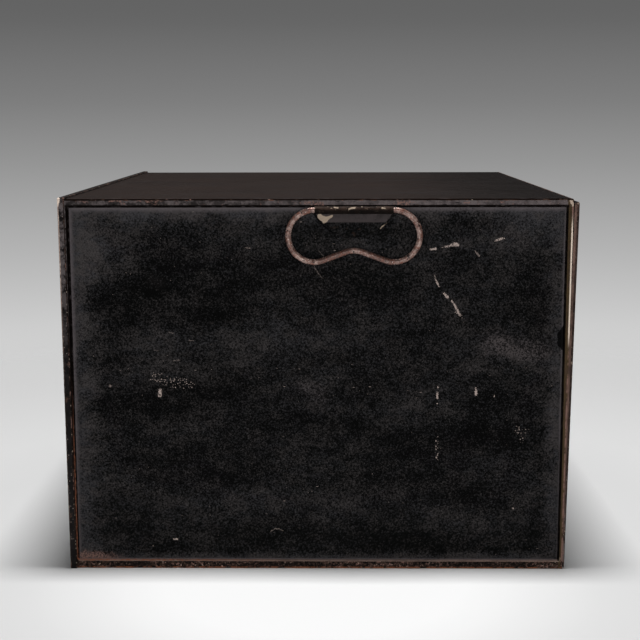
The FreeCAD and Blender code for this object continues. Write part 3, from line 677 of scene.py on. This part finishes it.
def backCapFinish(name, seed):
    book = sheetBook(name, seed)
    times, rise, blots = book.times, book.rise, book.blots
    away = book.least(book.minus(backCap["halfWidth"], book.side), book.minus(backCap["height"], book.z),
                      book.z)
    wander = book.wander(13.0, 18, 5)
    bloom = rise(book.plus(away, wander), *backCap["bloom"])
    book.ground(times(bloom, 0.22))
    book.flecks(0.7, book.crowd())
    hem = rise(book.x, *backCap["hemFace"])
    line = times(rise(book.side, 225.8, 226.4), rise(book.x, -206.0, -207.2))
    book.coat(times(hem, 0.9), backCap["hem"])
    high = times(rise(book.z, 150, 290, 0.05, 1.0), rise(book.side, 214, 222, 0.2, 1.0))
    book.coat(times(hem, high, blots(5, 21, 0.38, 0.58), 0.8), varnish["rubbed"], worn=0.3)
    book.coat(times(hem, book.specks(2.4, 23, share=0.45, radius=0.22), 0.6), varnish["pale"], worn=0.8)
    book.coat(times(hem, blots(7, 25, 0.60, 0.68), 0.8), varnish["brown"], worn=0.6)
    book.folds(0.8, 0.55, 0.45)
    # painted highlight along the hem's outer edge, brighter towards the top
    book.coat(times(line, high, blots(10, 29, 0.30, 0.46)), backCap["line"], worn=0.8)
    corner = book.strokes(backCap["cornerWear"], book.ragged(0.8, 2.4, 27), 0.4)
    book.coat(corner, backCap["corner"], worn=1.0, bare=0.2)
    return book.done()


def bottomSheetFinish(name, seed):
    book = sheetBook(name, seed)
    times, blots = book.times, book.blots
    book.ground(0.06)
    book.coat(times(blots(26, 21, 0.50, 0.66), 0.7), varnish["brown"], worn=0.5)
    book.coat(times(blots(9, 23, 0.60, 0.68), 0.8), varnish["rust"], worn=0.9)
    roll = book.rise(book.x, 206.0, 208.5)          # the roll under the door
    book.coat(times(roll, blots(6, 25, 0.40, 0.60), 0.8), varnish["pink"], worn=0.8)
    book.coat(times(roll, blots(4, 27, 0.56, 0.64)), varnish["tin"], worn=1.0, bare=0.7)
    book.folds(0.7, 0.8, 0.6)
    return book.done()


wear("top_sheet", topSheetFinish("japannedTop", 29.0))
wear("back_cap", backCapFinish("japannedBack", 53.0))
wear("bottom_sheet", bottomSheetFinish("japannedBottom", 41.0))
print("top, back and bottom japanned")

doorFinish = {                # mm
    "halfWidth": 224.7, "height": 308.3,
    "bloom": (34, 4),         # from the edges: where the bloom begins, and where it is full
    "keyPlace": (209.3, 0.0, 271.0),    # the middle of the worn place around the keyhole
    "wornReach": (46.0, 16),  # from there: where the wear begins, and where it is full
    "lip": (3.2, 0.8),
    "sideFace": (223.9, 224.5),
    "sideTone": tone(124, 99, 89),
}


def doorSkinFinish(name, seed):
    book = sheetBook(name, seed)
    times, rise, blots = book.times, book.rise, book.blots
    away = book.least(book.minus(doorFinish["halfWidth"], book.side),
                      book.minus(doorFinish["height"], book.z), book.z)
    wander = book.wander(15.0, 18, 5)
    bloom = rise(book.plus(away, wander), *doorFinish["bloom"])
    book.ground(times(bloom, 0.24))
    book.flecks(0.8, book.crowd())
    handled = rise(book.measure("DISTANCE", book.place, doorFinish["keyPlace"]), *doorFinish["wornReach"])
    book.coat(times(handled, blots(9, 21, 0.44, 0.62), 0.55), varnish["rubbed"], worn=0.4)
    scuffs = book.specks(7, 23, share=0.4, radius=0.08, stretch=(1, 0.6, 2.4))
    book.coat(times(scuffs, handled), varnish["pale"], worn=0.8)
    lip = rise(away, *doorFinish["lip"])
    book.coat(times(lip, blots(8, 25, 0.45, 0.60), 0.75), varnish["rubbed"], worn=0.4)
    book.coat(times(lip, blots(5, 27, 0.58, 0.65), 0.8), varnish["pink"], worn=0.9)
    side = rise(book.side, *doorFinish["sideFace"])
    height = rise(book.z, 60, 300, 0.55, 1.0)
    rubbed = book.drift(6, 29, 0.34, 0.60, 0.25, 1.0, rough=0.68)
    book.coat(times(side, rubbed, height), doorFinish["sideTone"], worn=0.5)
    # painted shade where the side bends round to the front and the top
    corners = book.most(rise(book.x, 208.5, 209.0), rise(book.z, 307.2, 307.9))
    book.coat(times(side, corners, 0.8), varnish["darkRustAndShade"])
    book.coat(times(side, blots(3, 31, 0.62, 0.68), 0.8), varnish["tin"], worn=1.0, bare=0.4)
    pitted = blots(5, 33, 0.54, 0.62, stretch=(1, 1, 2.0))
    book.coat(times(side, pitted, 0.9), varnish["darkRustAndShade"], worn=0.5)
    book.folds(0.75, 0.75, 0.6)
    return book.done()


def innerFinish(name, seed, lift=0.0):
    # sheets inside the case: less worn, with a little rust in the corners
    book = sheetBook(name, seed)
    times = book.times
    book.ground(lift)
    book.flecks(0.3, book.crowd(40, 0.7))
    side = book.rise(book.side, 222.6, 223.4)
    book.coat(times(side, book.drift(12, 21, 0.3, 0.6, 0.35, 0.9)), doorFinish["sideTone"], worn=0.4)
    book.coat(times(book.blots(15, 23, 0.60, 0.70), 0.6), varnish["brown"], worn=0.4)
    book.folds(0.6, 0.6, 0.3)
    return book.done(gloss=0.5)


wear("door_skin", doorSkinFinish("japannedDoor", 67.0))
wear("door_tray", innerFinish("japannedTray", 113.0))
wear("front_header", innerFinish("japannedHeader", 97.0, lift=0.04))
wear("front_sill", innerFinish("japannedSill", 101.0, lift=0.06))
print("door and inner frame japanned")

halfMoon = {                  # the plate that holds a handle, in mm
    "land": tone(62, 56, 56),
    # brown laid on the tube's upper side as painted light
    "tube": tone(52, 40, 34),
    "landTop": (299.6, 298.8),
    "tubeFoot": (298.9, 299.4),
    "tubeLit": (301.2, 304.0),          # between these heights the tube is painted lighter brown on its upper side: painted light
    "chips": [                # x, y, z and half width
        [(4.0, -224.2, 296.8, 2.2), (7.6, -224.2, 294.4, 2.6), (13.5, -224.2, 297.4, 0.8)],
        [(53.4, -222.9, 287.4, 1.0), (58.4, -223.2, 291.0, 0.9)],
        [(16, -226.6, 304.4, 0.7), (18, -226.6, 304.2, 0.7)],
        [(28, -226.8, 303.2, 0.9), (32, -226.8, 304.4, 0.8)],
        [(54, -226.8, 303.8, 0.7), (56, -226.8, 303.8, 0.6)],
    ],
}


def handlePlateFinish(name, seed, chips):
    book = sheetBook(name, seed)
    times, rise, blots = book.times, book.rise, book.blots
    book.ground(0.02)
    crease = caseShape["crease"]
    land = times(rise(book.z, crease - 0.4, crease + 0.6), rise(book.z, *halfMoon["landTop"]),
                 rise(book.faceY, 0.8, 0.97))
    book.coat(times(land, book.drift(8, 21, 0.3, 0.6, 0.5, 0.95)), halfMoon["land"], worn=0.2)
    tube = rise(book.z, *halfMoon["tubeFoot"])
    lit = rise(book.z, *halfMoon["tubeLit"], 0.15, 1.0)
    # the tube is blackened, with painted light in brown on its upper side
    book.coat(times(tube, 0.9), varnish["soot"])
    book.coat(times(tube, lit, book.drift(7, 23, 0.34, 0.60, 0.4, 1.0)), halfMoon["tube"], worn=0.4)
    book.coat(times(tube, blots(3.5, 25, 0.52, 0.58), 0.9), varnish["darkRustAndShade"], worn=0.4)
    book.coat(times(tube, lit, blots(2.6, 27, 0.62, 0.67), 0.9), varnish["beige"], worn=1.0)
    rust = times(rise(book.z, crease + 2, crease - 4), blots(6, 29, 0.60, 0.70), 0.25)
    book.coat(rust, varnish["brown"], worn=0.5)
    if chips:
        book.coat(book.strokes(chips, book.ragged(1.2, 2.2, 31)), varnish["beige"], worn=1.0)
    return book.done(gloss=0.5)


wear("left_handle_plate", handlePlateFinish("handlePlateLeft", 79.0, halfMoon["chips"]))
wear("right_handle_plate", handlePlateFinish("handlePlateRight", 83.0, []))
print("handle plates japanned")

handleWire = {
    "brown": tone(96, 72, 65), "worn": tone(172, 148, 139), "rust": tone(118, 74, 60),
    "dark": tone(24, 15, 13), "tin": tone(226, 210, 200),
    "metallic": 0.42, "specular": 0.6,
    "roughness": (0.22, 0.38),          # between the pits, and in them
    "pitDepth": 0.14,                   # mm
}


def wireFinish(name, seed):
    book = patternBook(name, seed)
    times, wire = book.times, handleWire
    rubbed = book.drift(8, 0, 0.42, 0.66, rough=0.68)
    colour = book.mix(rubbed, wire["brown"], wire["worn"])
    rust = book.blots(3.4, 3, 0.46, 0.62)
    colour = book.mix(times(rust, 0.75), colour, wire["rust"])
    paint = book.blots(3.2, 5, 0.57, 0.64)          # varnish left on the wire
    colour = book.mix(times(paint, 0.9), colour, wire["dark"])
    bright = book.specks(2.0, 7, share=0.36, radius=0.26)
    colour = book.mix(times(bright, 0.8), colour, wire["tin"])
    pits = book.noise(1.3, 9, 3.0, 0.65)
    book.bump(book.number("MULTIPLY_ADD", paint, 0.4, pits), wire["pitDepth"])
    roughness = book.rise(pits, 0.3, 0.7, *wire["roughness"])
    return book.finish(colour, roughness, wire["metallic"], wire["specular"])


wear("left_handle", wireFinish("rustedWireLeft", 5.0))
wear("right_handle", wireFinish("rustedWireRight", 11.0))

steelTones = (tone(84, 76, 70), tone(132, 122, 112), tone(92, 56, 40))      # dark, light, rust
lockTones = (tone(46, 44, 42), tone(80, 76, 72), tone(74, 50, 38))
brassTones = (tone(112, 86, 44), tone(176, 142, 80), tone(60, 48, 30))
hardware = (                  # piece, its tones, how metallic and how rough it is
    ("hinge_wire", steelTones, 0.7, 0.35),
    ("strike_rivets", steelTones, 0.6, 0.40),
    ("lock_rivets", steelTones, 0.6, 0.40),
    ("lock_strike", lockTones, 0.6, 0.45),
    ("lock_case", lockTones, 0.6, 0.45),
    ("lock_cap", lockTones, 0.6, 0.42),
    ("lock_bolt", lockTones, 0.8, 0.32),
    ("tumbler", lockTones, 0.7, 0.40),
    ("key_post", lockTones, 0.7, 0.40),
    ("tumbler_post", lockTones, 0.7, 0.40),
    ("escutcheon", brassTones, 0.9, 0.34),
    ("escutcheon_pins", brassTones, 0.9, 0.30),
    ("cover_pin", brassTones, 0.9, 0.30),
    ("keyhole_cover", brassTones, 0.9, 0.34),
)


def metalFinish(name, seed, tones, metal, rough):
    book = patternBook(name, seed)
    dark, light, rust = tones
    colour = book.mix(book.drift(6, 0, 0.35, 0.65, detail=5.0, rough=0.6), dark, light)
    spots = book.blots(4, 3, 0.56, 0.68)
    colour = book.mix(book.times(spots, 0.8), colour, rust)
    brushed = book.noise(0.7, 5, 3.0, stretch=(1, 5, 1))
    rubbedEdge = book.times(book.rounded(), book.rise(brushed, 0.35, 0.6))
    colour = book.mix(book.times(rubbedEdge, 0.6), colour, light)
    book.bump(brushed, 0.04)
    roughness = book.rise(brushed, 0.3, 0.7, rough, rough + 0.16)
    roughness = book.number("MULTIPLY_ADD", spots, 0.2, roughness)
    shine = book.number("MULTIPLY_ADD", spots, -metal * 0.8, metal)
    return book.finish(colour, roughness, shine, 0.5)


for index, (nodeName, tones, metal, rough) in enumerate(hardware):
    wear(nodeName, metalFinish("metal_" + nodeName, 3.0 + index * 2, tones, metal, rough))
print("wire, iron and brass done")

studio = {
    "floorSize": 14.0,                 # metres across
    "floorDrop": -0.0003,              # metres, so that it never meets the box's underside
    "paintedPoolPlace": (0.0, -240.0, 0.0),   # mm, middle of a pool of light painted on the floor
    # floor tones by distance from the pool: painted light, lightest in the middle
    "floorTones": ((0.0, 244), (0.062, 244), (0.078, 239), (0.09, 233), (0.103, 227), (0.115, 221),
                   (0.13, 218), (0.20, 218), (0.26, 223), (1.0, 214)),
    "floorReach": 2000.0,              # mm from the pool to the last of these tones
    "fade": (520.0, 1350.0),           # mm, where the floor gives way to the backdrop
    # sine of the height angle, level: a ring of light from the walls, little from above
    "walls": ((-1.0, 0), (-0.30, 20), (-0.20, 255), (0.20, 255), (0.30, 40), (1.0, 40)),
    "wallLight": 1.5,
    # sine of the height angle, tone
    "backdrop": ((-1.0, 252), (-0.40, 248), (-0.27, 226), (-0.19, 213), (-0.11, 180), (-0.038, 148),
                 (0.010, 125), (0.073, 101), (0.26, 72), (1.0, 60)),
    # metres and watts
    "overheadBox": {"place": (0.03, -0.16, 2.05), "target": (0.03, -0.159, 0), "size": (0.46, 0.26),
                    "watts": 40.5},
    "frontBox": {"place": (0.0, -2.6, 0.55), "target": (0, 0, 0.15), "size": (1.6, 0.8), "watts": 9},
}


def fillRamp(ramp, stops):
    elements = ramp.color_ramp.elements
    for index, (at, level) in enumerate(stops):
        stop = elements[index] if index < 2 else elements.new(at)
        stop.position, stop.color = at, tone(level)


def makeFloor(setup):
    half = setup["floorSize"] / 2
    mesh = bpy.data.meshes.new("studioFloor")
    mesh.from_pydata([(-half, -half, 0), (half, -half, 0), (half, half, 0), (-half, half, 0)],
                     [], [(0, 1, 2, 3)])
    floor = bpy.data.objects.new("studioFloor", mesh)
    floor.location.z = setup["floorDrop"]
    scene.collection.objects.link(floor)
    book = patternBook("palePaper")
    # the floor's tone is a painted pool of light, lightest at its middle
    away = book.measure("DISTANCE", book.place, setup["paintedPoolPlace"])
    ramp = book.node("ShaderNodeValToRGB")
    book.feed(ramp.inputs[0], book.number("DIVIDE", away, setup["floorReach"]))
    fillRamp(ramp, setup["floorTones"])
    mesh.materials.append(book.finish(ramp.outputs[0], 0.8, 0.0, 0.1))
    clear = book.node("ShaderNodeBsdfTransparent")
    both = book.node("ShaderNodeMixShader")
    book.feed(both.inputs[0], book.rise(away, *setup["fade"]))
    book.feed(both.inputs[1], book.shader.outputs[0])
    book.feed(both.inputs[2], clear.outputs[0])
    book.feed(book.tree.nodes["Material Output"].inputs[0], both.outputs[0])


def makeWorld(setup):
    world = bpy.data.worlds.new("studioAir")
    scene.world = world
    world.use_nodes = True
    tree = world.node_tree
    tree.nodes.clear()

    def add(kind, **settings):
        made = tree.nodes.new(kind)
        for key, value in settings.items():
            setattr(made, key, value)
        return made

    rays = add("ShaderNodeLightPath")
    seen = rays.outputs["Is Camera Ray"]
    for kind in ("Is Glossy Ray", "Is Transmission Ray"):
        more = add("ShaderNodeMath", operation="MAXIMUM")
        tree.links.new(seen, more.inputs[0])
        tree.links.new(rays.outputs[kind], more.inputs[1])
        seen = more.outputs[0]
    split = add("ShaderNodeSeparateXYZ")
    tree.links.new(add("ShaderNodeTexCoord").outputs["Generated"], split.inputs[0])
    share = add("ShaderNodeMath", operation="MULTIPLY_ADD")
    tree.links.new(split.outputs[2], share.inputs[0])
    share.inputs[1].default_value = share.inputs[2].default_value = 0.5
    both = add("ShaderNodeMixShader")
    tree.links.new(seen, both.inputs[0])
    for socket, stops, strength in ((1, setup["walls"], setup["wallLight"]), (2, setup["backdrop"], 1.0)):
        ramp, air = add("ShaderNodeValToRGB"), add("ShaderNodeBackground")
        tree.links.new(share.outputs[0], ramp.inputs[0])
        fillRamp(ramp, [((sine + 1) / 2, level) for sine, level in stops])
        tree.links.new(ramp.outputs[0], air.inputs[0])
        air.inputs[1].default_value = strength
        tree.links.new(air.outputs[0], both.inputs[socket])
    tree.links.new(both.outputs[0], add("ShaderNodeOutputWorld").inputs[0])


def makeSoftbox(name, setup):
    data = bpy.data.lights.new(name, "AREA")
    data.shape, data.size, data.size_y = "RECTANGLE", *setup["size"]
    data.energy = setup["watts"]
    lamp = bpy.data.objects.new(name, data)
    scene.collection.objects.link(lamp)
    aim = Vector(setup["target"]) - Vector(setup["place"])
    lamp.location = setup["place"]
    lamp.rotation_euler = aim.to_track_quat("-Z", "Y").to_euler()


makeFloor(studio)
makeWorld(studio)
for boxName in ("overheadBox", "frontBox"):
    makeSoftbox(boxName, studio[boxName])
print("studio done")
